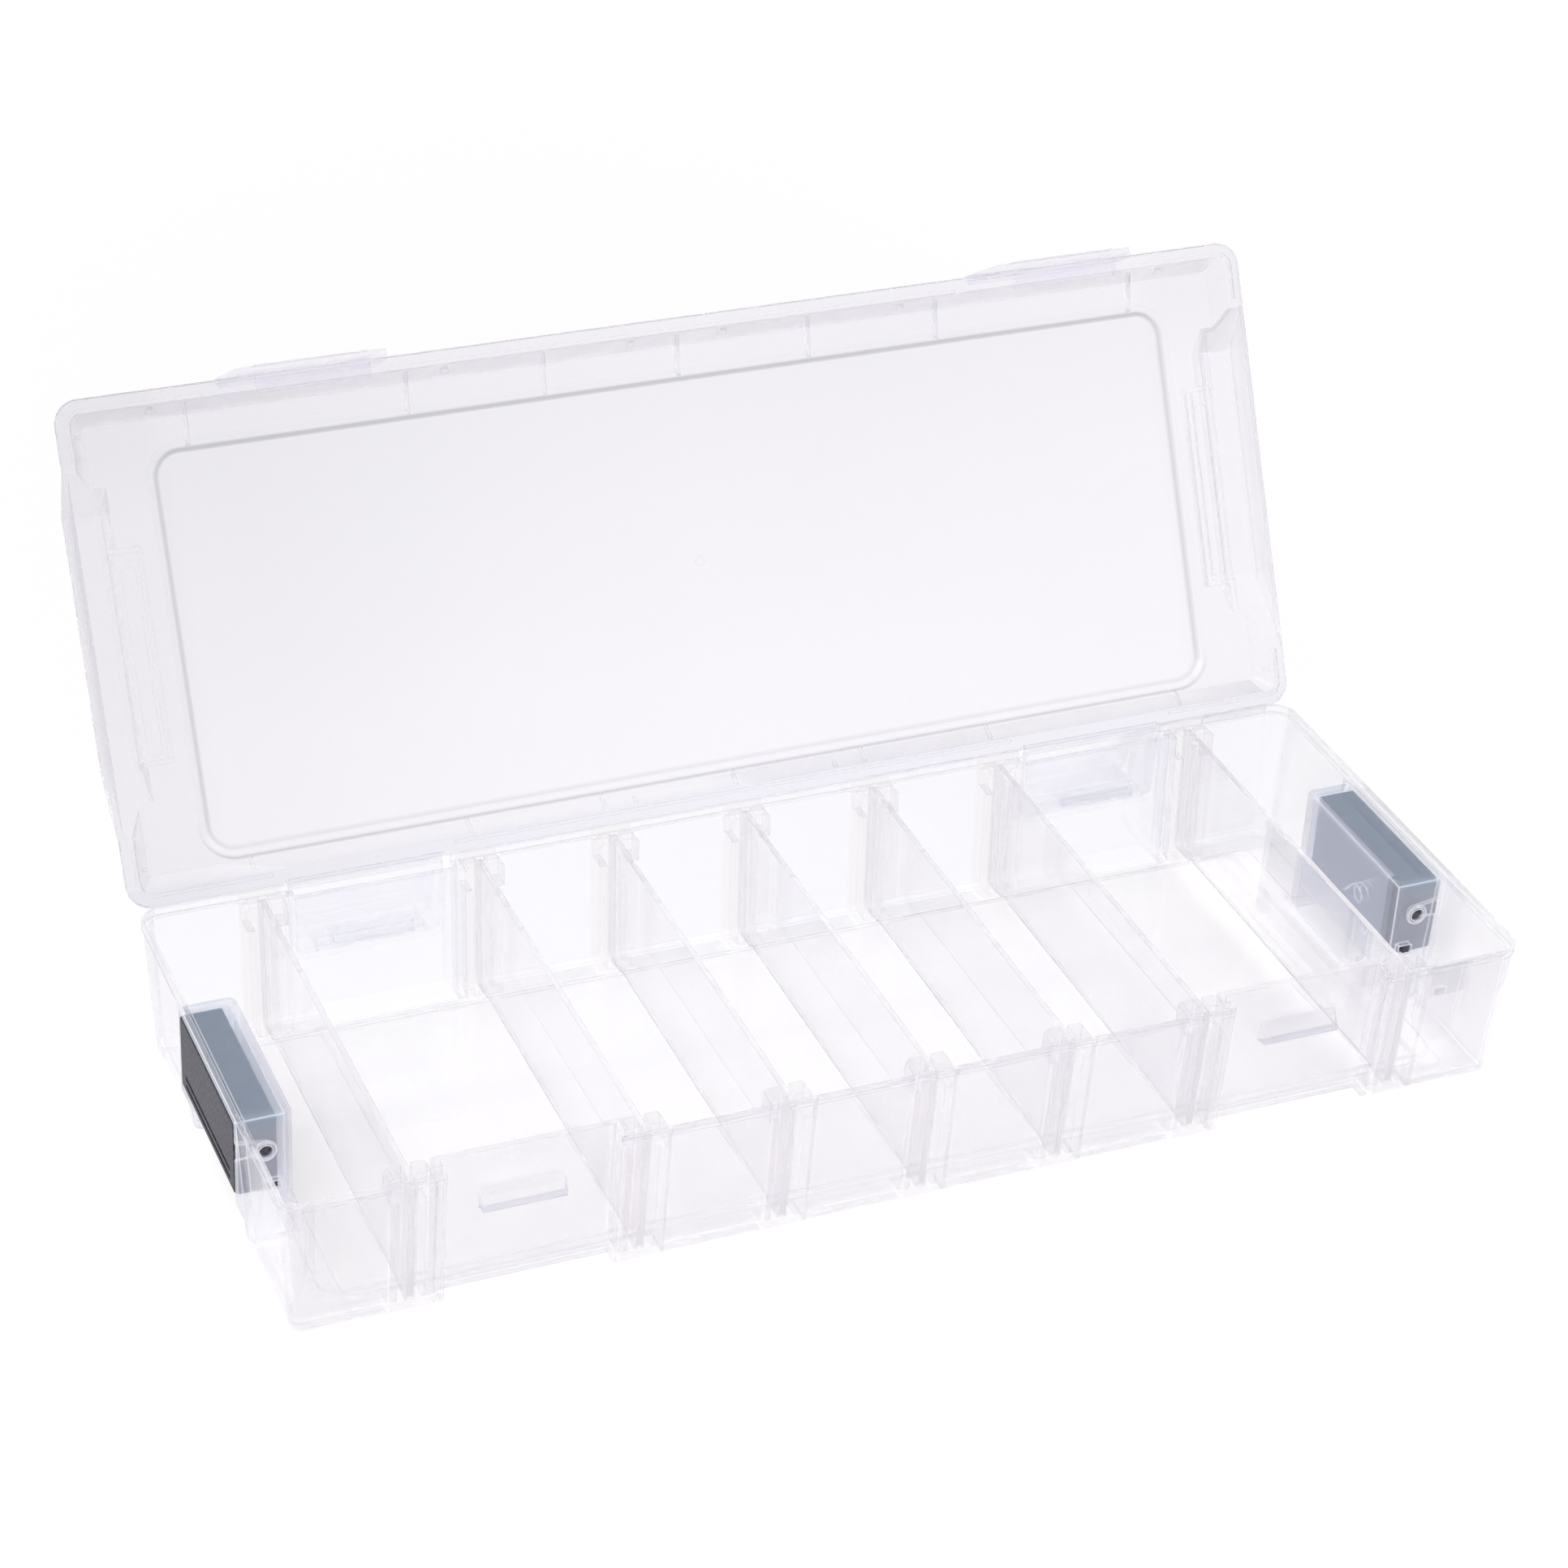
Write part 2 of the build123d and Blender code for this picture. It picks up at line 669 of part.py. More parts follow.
centre = centre_line.wire()
samples = [centre.position_at(step / 400) for step in range(401)]
apart = int(2 * pi * spring_radius / centre.length * 400 / 2)
gaps = [(p - q).length - wire for i, p in enumerate(samples) for q in samples[i + apart:]]
print("spring wire", round(centre.length, 1), "mm, least gap to itself", round(min(gaps), 2), "mm")

# Every piece in its place
open_place = Location((0, hinge_y, rim_height), (-open_angle, 0, 0))
free_clip = Location((0, 2 * lid_middle, 0), (0, 0, 180)) * Location((0, 0, 0), (clip_tilt, 0, 0))
pieces = []

base_tray.part.label = "base_tray"
pieces.append(base_tray.part)

for number, x in enumerate(divider_x, start=1):
    with BuildPart() as placed_divider:
        with Locations((x, 0, 0)):
            add(divider.part)
    placed_divider.part.label = f"divider_{number}"
    pieces.append(placed_divider.part)

with BuildPart() as lid:
    with Locations(open_place):
        add(shut_lid.part)
lid.part.label = "lid"
pieces.append(lid.part)

for side, name in ((-1, "left"), (1, "right")):
    with BuildPart() as front_clip:
        with Locations(open_place * Location((side * clip_centre, 0, 0)) * free_clip):
            add(clip.part)
    front_clip.part.label = f"front_clip_{name}"
    with BuildPart() as rear_clip:
        with Locations((side * clip_centre, hinge_y, rim_height)):
            add(clip.part)
    rear_clip.part.label = f"rear_clip_{name}"
    with BuildPart() as side_latch:
        if side > 0:
            add(latch.part)
        else:
            mirror(latch.part, about=Plane.YZ)
    side_latch.part.label = f"side_latch_{name}"
    with BuildPart() as latch_spring:
        with Locations(Location((side * pocket_back, 0, spring_z), (0, 0, 90 - side * 90))):
            add(spring.part)
    latch_spring.part.label = f"latch_spring_{name}"
    pieces += [front_clip.part, rear_clip.part, side_latch.part, latch_spring.part]

os.makedirs("parts", exist_ok=True)
for piece in pieces:
    export_step(piece, f"parts/{piece.label}.step")
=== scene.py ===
import json
import math

import bpy
from mathutils import Matrix, Vector


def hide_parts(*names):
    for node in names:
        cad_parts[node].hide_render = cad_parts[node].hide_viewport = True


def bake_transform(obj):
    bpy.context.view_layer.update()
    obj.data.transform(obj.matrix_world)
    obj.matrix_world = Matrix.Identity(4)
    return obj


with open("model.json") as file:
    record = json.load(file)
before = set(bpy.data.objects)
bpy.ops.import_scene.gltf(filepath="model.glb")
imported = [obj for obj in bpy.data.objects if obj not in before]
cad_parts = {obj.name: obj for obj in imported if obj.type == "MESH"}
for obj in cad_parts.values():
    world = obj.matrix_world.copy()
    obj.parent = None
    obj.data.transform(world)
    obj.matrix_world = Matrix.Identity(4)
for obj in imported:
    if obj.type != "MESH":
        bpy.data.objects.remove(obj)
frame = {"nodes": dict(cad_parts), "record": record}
scene = bpy.context.scene

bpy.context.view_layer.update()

# Lengths are in metres. The case is the same left and right of X = 0, and its front is at -Y.

# The lid turns about this line, and leans back by this angle from shut
HINGE_Y, RIM_HEIGHT = 0.0740, 0.047
LID_ANGLE = math.radians(117)
LEAN_Y, LEAN_Z = -math.cos(LID_ANGLE), math.sin(LID_ANGLE)

# The raised panel of the lid; heights on the lid are measured from the hinge
PANEL_HALF_LENGTH = 0.1637
PANEL_BOTTOM, PANEL_TOP = 0.012, 0.130
PANEL_CORNER = 0.008

# Painted shade: dark lines that follow the step round the panel and stand in for the shade along the
# step, as stops of (distance from its outline, tint)
STEP_RANGE = (-0.002, 0.005)
STEP_SHADE_LINE = ((-0.0012, 1.0), (-0.0006, 0.8), (0.0002, 0.76), (0.0009, 1.0))
FOOT_SHADE_LINES = (
    (-0.0006, 1.0), (0.0, 0.95), (0.0006, 0.99),
    (0.0021, 1.0), (0.0029, 0.78), (0.0036, 0.99),
)
FOOT_HEIGHTS = (0.010, 0.022)
SIDES_X, SIDES_SHARE, SIDES_TINT = (0.158, 0.163), 0.35, (0.96, 0.96, 0.96)

# Painted shade along the lid, darker toward its left end as shade from the lighting, as stops of (X,
# tint), and tints up the lid, as stops of (height, tint)
LENGTH_RANGE = (-0.192, 0.192)
LENGTH_SHADE = (
    (-0.192, 0.937), (-0.165, 0.945), (-0.163, 0.95), (-0.135, 0.956), (-0.11, 0.967),
    (-0.07, 0.984), (0.0, 0.998), (0.1, 0.995), (0.192, 0.994),
)
HINGE_RANGE = (0.0, 0.01)
HINGE_TINT = (0.965, 0.97, 0.985)
HINGE_TINTS = ((0.0, HINGE_TINT), (0.004, HINGE_TINT), (0.006, 1.0))
HEIGHT_RANGE = (0.0, 0.15)
PANEL_TINTS = ((0.04, 1.0), (0.09, 0.98), (0.13, 0.955))
MARGIN_TINTS = ((0.0, 1.0), (0.02, 1.0), (0.11, 0.99), (0.132, 0.962))

# Milkier zones of the tray. X and Y are distances from the middle of the case, REAR_Y a place.
POCKET_X, POCKET_WALL_X, POCKET_ROOF_X = 0.1725, 0.1755, 0.1758
POCKET_Y, POCKET_WALL_Y, CHEEK_Y = 0.0305, 0.0235, 0.0265
POCKET_FOOT_Z, POCKET_ROOF_Z, POCKET_TOP_Z = 0.012, 0.0405, 0.0445
PILLARS_X, PILLAR_HALF_WIDTH, PILLAR_Y = (0.0, 0.043, 0.086, 0.153), 0.0065, 0.0605
CATCH_X, CATCH_HALF_LENGTH, CATCH_Y = 0.12, 0.0125, 0.0654
CATCH_Z, CATCH_HALF_HEIGHT, CATCH_FOOT_Z = 0.0306, 0.0038, 0.0279
REAR_Y = 0.0625

# Share of the light that these zones scatter on top of the plain plastic; on the pocket edges it is
# a painted highlight
POCKET_MILK, POCKET_WALL_MILK, CHEEK_MILK, POCKET_EDGE_HIGHLIGHT_SHARE = 0.11, 0.19, 0.07, 0.5
PILLAR_MILK = 0.11
CATCH_MILK, CATCH_FOOT_MILK, REAR_CATCH_SHARE = 0.05, 0.35, 0.1
REAR_MILK = 0.03

# Colours of the scattered light; the edge colours are painted lines that stand in for the bright and
# grey lines that refraction draws along edges
HAZE, PAINTED_EDGE_GREY = (0.68, 0.78, 1.0), (0.76, 0.75, 0.8)
PILLAR_HAZE, CATCH_HAZE = (0.85, 0.84, 0.89), (0.62, 0.64, 0.74)
POCKET_HAZE, ROOF_HAZE, POCKET_EDGE_HIGHLIGHT = (0.8, 0.84, 1.0), (0.62, 0.8, 1.0), (0.96, 0.96, 0.98)

PLASTIC_IOR = 1.49
# Uneven milk and tint of the moulding
CLOUD_SCALE, CLOUD_DETAIL, CLOUD_RANGE = 16.0, 3.0, (0.3, 0.7)
CLOUD_TINT, CLOUD_LEAST, CLOUD_MOST = 0.997, 0.7, 1.3
# Width of the moulded edges, which is more in the pockets, and the turn of the normal that shows one
EDGE_RADIUS, POCKET_EDGE_RADIUS = 0.0006, 0.0005
EDGE_SAMPLES, EDGE_FLAT, EDGE_SHARP = 4, 0.995, 0.8
# Share by which pockets and pillars bend the light less
CALM_SHARE = 0.7
# A face whose normal has less X than this is a narrow face of a plate across X
NARROW_NORMAL = 0.5
# Rays with more bounces than this go straight through
DEEP_RAY = 14.5
ESCAPE_TINT = (0.999, 0.999, 0.999)

# Grain of the latches and streaks of the springs
GRAIN_SCALE, GRAIN_DETAIL, GRAIN_RANGE = 1100.0, 4.0, (0.4, 0.6)
GRAIN_BUMP, GRAIN_DEPTH = 0.35, 0.0002
STREAK_SCALE, STREAK_DETAIL, STREAK_RANGE = 400.0, 2.0, (0.0, 1.0)


def new_material(name):
    """An empty node material with its output."""
    material = bpy.data.materials.new(name)
    material.use_nodes = True
    tree = material.node_tree
    tree.nodes.clear()
    output = tree.nodes.new("ShaderNodeOutputMaterial")
    return material, tree, output


def feed(tree, value, target):
    """Gives an input another node's output, a number or a colour."""
    if isinstance(value, bpy.types.NodeSocket):
        tree.links.new(value, target)
    elif isinstance(value, tuple):
        target.default_value = (*value, 1)
    else:
        target.default_value = value


def maths(tree, operation, first, second=None):
    """The result of a Math node on outputs or numbers."""
    node = tree.nodes.new("ShaderNodeMath")
    node.operation = operation
    feed(tree, first, node.inputs[0])
    if second is not None:
        feed(tree, second, node.inputs[1])
    return node.outputs[0]


def joined(tree, operation, values):
    """One result of a Math operation over several outputs or numbers."""
    result = values[0]
    for value in values[1:]:
        result = maths(tree, operation, result, value)
    return result


def product(tree, *factors):
    """All factors multiplied."""
    return joined(tree, "MULTIPLY", factors)


def total(tree, *terms):
    """All terms added."""
    return joined(tree, "ADD", terms)


def off(tree, value, centre):
    """How far the value is from the centre."""
    return maths(tree, "ABSOLUTE", maths(tree, "SUBTRACT", value, centre))


def above(tree, value, limit):
    """1 where the value is above the limit, else 0."""
    return maths(tree, "GREATER_THAN", value, limit)


def below(tree, value, limit):
    """1 where the value is below the limit, else 0."""
    return maths(tree, "LESS_THAN", value, limit)


def fade(tree, value, start, end, at_start=0.0, at_end=1.0):
    """at_start where the value is at start, at_end where it is at end, and a blend in between."""
    node = tree.nodes.new("ShaderNodeMapRange")
    node.inputs["From Min"].default_value = start
    node.inputs["From Max"].default_value = end
    node.inputs["To Min"].default_value = at_start
    node.inputs["To Max"].default_value = at_end
    tree.links.new(value, node.inputs["Value"])
    return node.outputs["Result"]


def ramp(tree, value, start, end, stops):
    """A colour ramp over the range start to end; stops are (value, grey or colour)."""
    node = tree.nodes.new("ShaderNodeValToRGB")
    elements = node.color_ramp.elements
    while len(elements) > 1:
        elements.remove(elements[-1])
    for number, (stop, colour) in enumerate(stops):
        position = (stop - start) / (end - start)
        element = elements[0] if number == 0 else elements.new(position)
        element.position = position
        element.color = (*colour, 1) if isinstance(colour, tuple) else (colour, colour, colour, 1)
    tree.links.new(fade(tree, value, start, end), node.inputs["Fac"])
    return node.outputs["Color"]


def two_colours(tree, value, limits, first, second):
    """The first colour where the value is at its lower limit, the second at its upper one."""
    return ramp(tree, value, *limits, tuple(zip(limits, (first, second))))


def mixed(tree, blend, factor, first, second):
    """The result of a colour Mix node."""
    node = tree.nodes.new("ShaderNodeMix")
    node.data_type = "RGBA"
    node.blend_type = blend
    for name, value in (("Factor_Float", factor), ("A_Color", first), ("B_Color", second)):
        feed(tree, value, next(s for s in node.inputs if s.identifier == name))
    return next(s for s in node.outputs if s.identifier == "Result_Color")


def mixed_shader(tree, share, first, second):
    """A Mix Shader node: the first shader at share 0, the second at share 1."""
    node = tree.nodes.new("ShaderNodeMixShader")
    feed(tree, share, node.inputs["Fac"])
    tree.links.new(first.outputs[0], node.inputs[1])
    tree.links.new(second.outputs[0], node.inputs[2])
    return node


def split(tree, vector):
    """The X, Y and Z of a vector."""
    node = tree.nodes.new("ShaderNodeSeparateXYZ")
    tree.links.new(vector, node.inputs[0])
    return node.outputs["X"], node.outputs["Y"], node.outputs["Z"]


def vector_maths(tree, operation, first, second=None):
    """The number that a Vector Math node gives; second is another output or a fixed vector."""
    node = tree.nodes.new("ShaderNodeVectorMath")
    node.operation = operation
    tree.links.new(first, node.inputs[0])
    if isinstance(second, bpy.types.NodeSocket):
        tree.links.new(second, node.inputs[1])
    elif second is not None:
        node.inputs[1].default_value = second
    return node.outputs["Value"]


def object_place(tree):
    """The place on the object, in its own coordinates."""
    return tree.nodes.new("ShaderNodeTexCoord").outputs["Object"]


def noise(tree, scale, detail):
    """Noise that is fixed to the object."""
    node = tree.nodes.new("ShaderNodeTexNoise")
    node.inputs["Scale"].default_value = scale
    node.inputs["Detail"].default_value = detail
    tree.links.new(object_place(tree), node.inputs["Vector"])
    return node.outputs["Fac"]


def seen_rays(tree):
    """1 for rays from the camera, off glossy surfaces and through clear plastic, else 0."""
    paths = tree.nodes.new("ShaderNodeLightPath").outputs
    kinds = (paths["Is Camera Ray"], paths["Is Glossy Ray"], paths["Is Transmission Ray"])
    return joined(tree, "MAXIMUM", kinds)


def panel_distance(tree, out_x, height):
    """Distance from the rounded outline of the lid's panel, negative inside it."""
    middle, half = (PANEL_TOP + PANEL_BOTTOM) / 2, (PANEL_TOP - PANEL_BOTTOM) / 2
    past_x = maths(tree, "SUBTRACT", out_x, PANEL_HALF_LENGTH - PANEL_CORNER)
    past_height = maths(tree, "SUBTRACT", off(tree, height, middle), half - PANEL_CORNER)
    past_both = tree.nodes.new("ShaderNodeCombineXYZ")
    tree.links.new(maths(tree, "MAXIMUM", past_x, 0.0), past_both.inputs[0])
    tree.links.new(maths(tree, "MAXIMUM", past_height, 0.0), past_both.inputs[1])
    outside = vector_maths(tree, "LENGTH", past_both.outputs[0])
    inside = maths(tree, "MINIMUM", maths(tree, "MAXIMUM", past_x, past_height), 0.0)
    return maths(tree, "SUBTRACT", total(tree, outside, inside), PANEL_CORNER)


def lid_tint_and_shade(tree, place, tint):
    """Tint of the lid, with painted shade: dark lines that follow the step round its panel, and a
    darker left end.
    """
    x, _, _ = split(tree, place)
    out_x = maths(tree, "ABSOLUTE", x)
    up_lid = vector_maths(tree, "DOT_PRODUCT", place, (0, LEAN_Y, LEAN_Z))
    height = maths(tree, "SUBTRACT", up_lid, HINGE_Y * LEAN_Y + RIM_HEIGHT * LEAN_Z)
    distance = panel_distance(tree, out_x, height)
    # The foot of the panel shows two painted shade lines, the rest of it one, which is weaker at its
    # sides
    step_shade_line = ramp(tree, distance, *STEP_RANGE, STEP_SHADE_LINE)
    foot_shade_lines = ramp(tree, distance, *STEP_RANGE, FOOT_SHADE_LINES)
    lines = mixed(tree, "MIX", fade(tree, height, *FOOT_HEIGHTS), foot_shade_lines, step_shade_line)
    sides = fade(tree, out_x, *SIDES_X, 0.0, SIDES_SHARE)
    lines = mixed(tree, "MIX", sides, lines, SIDES_TINT)
    # Painted shade makes the lid darker toward its left end, as shade from the lighting; the lid is
    # also darker at its hinge and toward its front edge
    hinge_edge = ramp(tree, height, *HINGE_RANGE, HINGE_TINTS)
    painted_shade_lengthwise = ramp(tree, x, *LENGTH_RANGE, LENGTH_SHADE)
    panel = ramp(tree, height, *HEIGHT_RANGE, PANEL_TINTS)
    margin = ramp(tree, height, *HEIGHT_RANGE, MARGIN_TINTS)
    upward = mixed(tree, "MIX", below(tree, distance, 0.0), margin, panel)
    result = lines
    for part in (hinge_edge, painted_shade_lengthwise, upward, tint):
        result = mixed(tree, "MULTIPLY", 1.0, result, part)
    return result


def moulded_edges(tree, radius):
    """1 on the sharp edges of a moulding, 0 on its flat faces."""
    rounded = tree.nodes.new("ShaderNodeBevel")
    rounded.samples = EDGE_SAMPLES
    feed(tree, radius, rounded.inputs["Radius"])
    normal = tree.nodes.new("ShaderNodeNewGeometry").outputs["Normal"]
    facing = vector_maths(tree, "DOT_PRODUCT", rounded.outputs["Normal"], normal)
    return fade(tree, maths(tree, "ABSOLUTE", facing), EDGE_FLAT, EDGE_SHARP)


def milky_parts(tree, place):
    """Masks of the tray's latch pockets, pillars, catch bars and pocket roofs, and its milk."""
    x, y, z = split(tree, place)
    out_x, out_y = maths(tree, "ABSOLUTE", x), maths(tree, "ABSOLUTE", y)

    pocket = product(tree, above(tree, out_x, POCKET_X), below(tree, out_y, POCKET_Y),
                     below(tree, z, POCKET_TOP_Z))
    wall = product(tree, below(tree, out_x, POCKET_WALL_X), above(tree, z, POCKET_FOOT_Z),
                   below(tree, out_y, POCKET_WALL_Y))
    cheek = above(tree, out_y, CHEEK_Y)
    pocket_milk = total(tree, product(tree, wall, POCKET_WALL_MILK),
                        product(tree, cheek, CHEEK_MILK), POCKET_MILK)
    roof = product(tree, pocket, above(tree, z, POCKET_ROOF_Z), above(tree, out_x, POCKET_ROOF_X))

    columns = [below(tree, off(tree, out_x, centre), PILLAR_HALF_WIDTH) for centre in PILLARS_X]
    pillar = product(tree, joined(tree, "MAXIMUM", columns), above(tree, out_y, PILLAR_Y))

    # The catch bars of the rear wall are hardly milky
    front = below(tree, y, 0.0)
    front_or_rear = total(tree, product(tree, front, 1 - REAR_CATCH_SHARE), REAR_CATCH_SHARE)
    catch = product(tree, below(tree, off(tree, out_x, CATCH_X), CATCH_HALF_LENGTH),
                    above(tree, out_y, CATCH_Y),
                    below(tree, off(tree, z, CATCH_Z), CATCH_HALF_HEIGHT), front_or_rear)
    catch_foot = below(tree, z, CATCH_FOOT_Z)
    catch_milk = total(tree, product(tree, catch_foot, CATCH_FOOT_MILK), CATCH_MILK)

    milk = total(tree, product(tree, pocket, pocket_milk), product(tree, pillar, PILLAR_MILK),
                 product(tree, catch, catch_milk), product(tree, above(tree, y, REAR_Y), REAR_MILK))
    return pocket, pillar, catch, roof, milk


def clear_plastic(name, tint, bend, haze, edges, pattern=None, milky=None, narrow_milk=0.0):
    """Clear, slightly milky plastic with painted pale lines along its edges.

    The walls bend a share of the light (bend), and the rest goes straight through. A little of both
    is scattered: by the faces (haze), by the edges (edges) as painted pale lines that stand in for
    the lines refraction draws along them, a painted highlight over dark parts and painted shade over
    white ones, and by the narrow faces of a plate that stands across X (narrow_milk). pattern varies
    the tint, and milky gives the milkier parts.
    Light that is caught between the walls for long, that is on its way to a lamp or that was
    scattered before goes straight through.
    """
    material, tree, output = new_material(name)
    nodes, links = tree.nodes, tree.links
    place = object_place(tree)
    cloud = noise(tree, CLOUD_SCALE, CLOUD_DETAIL)
    if pattern:
        colour = pattern(tree, place, tint)
    else:
        denser = tuple(CLOUD_TINT * part for part in tint)
        colour = two_colours(tree, cloud, CLOUD_RANGE, denser, tint)

    bend_share, edge_radius = bend, EDGE_RADIUS
    haze_colour, painted_edge_colour = HAZE, PAINTED_EDGE_GREY
    if milky:
        pocket, pillar, catch, roof, milk = milky(tree, place)
        calm = product(tree, maths(tree, "MAXIMUM", pocket, pillar), CALM_SHARE)
        bend_share = product(tree, maths(tree, "SUBTRACT", 1.0, calm), bend)
        edge_radius = total(tree, product(tree, pocket, POCKET_EDGE_RADIUS), EDGE_RADIUS)
        painted_edge_colour = mixed(tree, "MIX", pocket, PAINTED_EDGE_GREY, POCKET_EDGE_HIGHLIGHT)
        for mask, part_haze in ((pillar, PILLAR_HAZE), (catch, CATCH_HAZE),
                                (pocket, POCKET_HAZE), (roof, ROOF_HAZE)):
            haze_colour = mixed(tree, "MIX", mask, haze_colour, part_haze)

    # Painted highlight and shade: the edges take a pale grey, in the pockets a wider white, which
    # stands in for the lines that refraction draws along them
    edge = moulded_edges(tree, edge_radius)
    cloudy = fade(tree, cloud, *CLOUD_RANGE, haze * CLOUD_LEAST, haze * CLOUD_MOST)
    scattered = total(tree, cloudy, product(tree, edge, edges))
    if milky:
        scattered = total(tree, scattered, milk, product(tree, pocket, edge, POCKET_EDGE_HIGHLIGHT_SHARE))
    if narrow_milk:
        normal_x, _, _ = split(tree, nodes.new("ShaderNodeNewGeometry").outputs["Normal"])
        narrow = below(tree, maths(tree, "ABSOLUTE", normal_x), NARROW_NORMAL)
        scattered = total(tree, scattered, product(tree, narrow, narrow_milk))
        # The narrow faces take the colour of the painted edge lines too
        edge = maths(tree, "MAXIMUM", edge, narrow)

    straight = nodes.new("ShaderNodeBsdfTransparent")
    links.new(colour, straight.inputs["Color"])
    bending = nodes.new("ShaderNodeBsdfPrincipled")
    bending.inputs["Roughness"].default_value = 0.0
    bending.inputs["IOR"].default_value = PLASTIC_IOR
    bending.inputs["Transmission Weight"].default_value = 1.0
    links.new(colour, bending.inputs["Base Color"])
    scatter = nodes.new("ShaderNodeBsdfDiffuse")
    links.new(mixed(tree, "MIX", edge, haze_colour, painted_edge_colour), scatter.inputs["Color"])
    through = mixed_shader(tree, bend_share, straight, bending)
    hazy = mixed_shader(tree, scattered, through, scatter)

    paths = nodes.new("ShaderNodeLightPath").outputs
    deep = above(tree, paths["Ray Depth"], DEEP_RAY)
    escaping = joined(tree, "MAXIMUM", (paths["Is Shadow Ray"], paths["Is Diffuse Ray"], deep))
    escape = nodes.new("ShaderNodeBsdfTransparent")
    escape.inputs["Color"].default_value = (*ESCAPE_TINT, 1)
    links.new(mixed_shader(tree, escaping, hazy, escape).outputs[0], output.inputs["Surface"])
    return material


def moulded_plastic(name, light, dark):
    """Dark plastic with a fine moulded grain."""
    material, tree, output = new_material(name)
    grain = noise(tree, GRAIN_SCALE, GRAIN_DETAIL)
    bump = tree.nodes.new("ShaderNodeBump")
    bump.inputs["Strength"].default_value = GRAIN_BUMP
    bump.inputs["Distance"].default_value = GRAIN_DEPTH
    tree.links.new(grain, bump.inputs["Height"])
    shader = tree.nodes.new("ShaderNodeBsdfPrincipled")
    shader.inputs["Roughness"].default_value = 0.5
    shader.inputs["Specular IOR Level"].default_value = 0.3
    colour = two_colours(tree, grain, GRAIN_RANGE, dark, light)
    tree.links.new(colour, shader.inputs["Base Color"])
    tree.links.new(bump.outputs["Normal"], shader.inputs["Normal"])
    tree.links.new(shader.outputs["BSDF"], output.inputs["Surface"])
    return material


def drawn_wire(name, dark, light):
    """Bright drawn steel wire with faint streaks."""
    material, tree, output = new_material(name)
    streaks = noise(tree, STREAK_SCALE, STREAK_DETAIL)
    shader = tree.nodes.new("ShaderNodeBsdfPrincipled")
    shader.inputs["Metallic"].default_value = 0.4
    shader.inputs["Roughness"].default_value = 0.3
    colour = two_colours(tree, streaks, STREAK_RANGE, dark, light)
    tree.links.new(colour, shader.inputs["Base Color"])
    tree.links.new(shader.outputs["BSDF"], output.inputs["Surface"])
    return material


tray_plastic = clear_plastic(
    "clear_plastic", (1.0, 0.989, 0.994), bend=0.4, haze=0.025, edges=0.45, milky=milky_parts)
divider_plastic = clear_plastic(
    "clear_plastic_dividers", (1.0, 0.994, 0.998), bend=0.65, haze=0.01, edges=0.15,
    narrow_milk=0.25)
lid_plastic = clear_plastic(
    "clear_plastic_lid", (0.992, 0.973, 0.984), bend=0.4, haze=0.045, edges=0.3, pattern=lid_tint_and_shade)
clip_plastic = clear_plastic(
    "clear_plastic_clips", (0.98, 0.965, 0.975), bend=0.2, haze=0.05, edges=0.3)
charcoal = moulded_plastic("latch_charcoal", (0.083, 0.077, 0.107), (0.028, 0.027, 0.038))
steel = drawn_wire("spring_steel", (0.7, 0.71, 0.73), (0.92, 0.92, 0.94))
finishes = {"clear_plastic": tray_plastic, "latch_charcoal": charcoal, "spring_steel": steel}

slot_of = {part["node"]: part["material_slot"] for part in frame["record"]["subparts"]}
for name, node in frame["nodes"].items():
    finish = finishes[slot_of[name]]
    if name == "lid":
        finish = lid_plastic
    elif name.startswith("front_clip"):
        finish = clip_plastic
    elif name.startswith("divider"):
        finish = divider_plastic
    node.data.materials.clear()
    node.data.materials.append(finish)

# Each coil spring, pressed together between its pocket's wall and the latch that tilts toward it, is
# copied into an object of its own that takes the place of its solid
for side, name in ((-1, "left"), (1, "right")):
    solid = frame["nodes"][f"latch_spring_{name}"]
    coil = bpy.data.objects.new(f"coil_{name}", solid.data.copy())
    scene.collection.objects.link(coil)
    coil.matrix_world = solid.matrix_world.copy()
    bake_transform(coil)
    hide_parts(f"latch_spring_{name}")

# Lift of the floor for rays that see it, which keeps it white and doesn't light the case.
# Under the case and under its right end the lift is painted light that hides the case's shadow
# there.
# Each is (start, end, strength at start, strength at end)
FLOOR_BY_DISTANCE = (0.3, 1.1, 0.165, 0.335)
FLOOR_BY_FAR_DISTANCE = (1.0, 2.6, 0.0, 0.35)
UNDER_CASE_PAINTED_LIGHT_BY_Y = (0.045, 0.075, 0.145, 0.0)
UNDER_CASE_PAINTED_LIGHT_BY_X = (0.33, 0.19, 0.0, 1.0)
RIGHT_END_PAINTED_LIGHT_BY_X = (0.02, 0.01, 0.0, 0.3)
RIGHT_END_X, RIGHT_END_Y = 0.164, 0.06


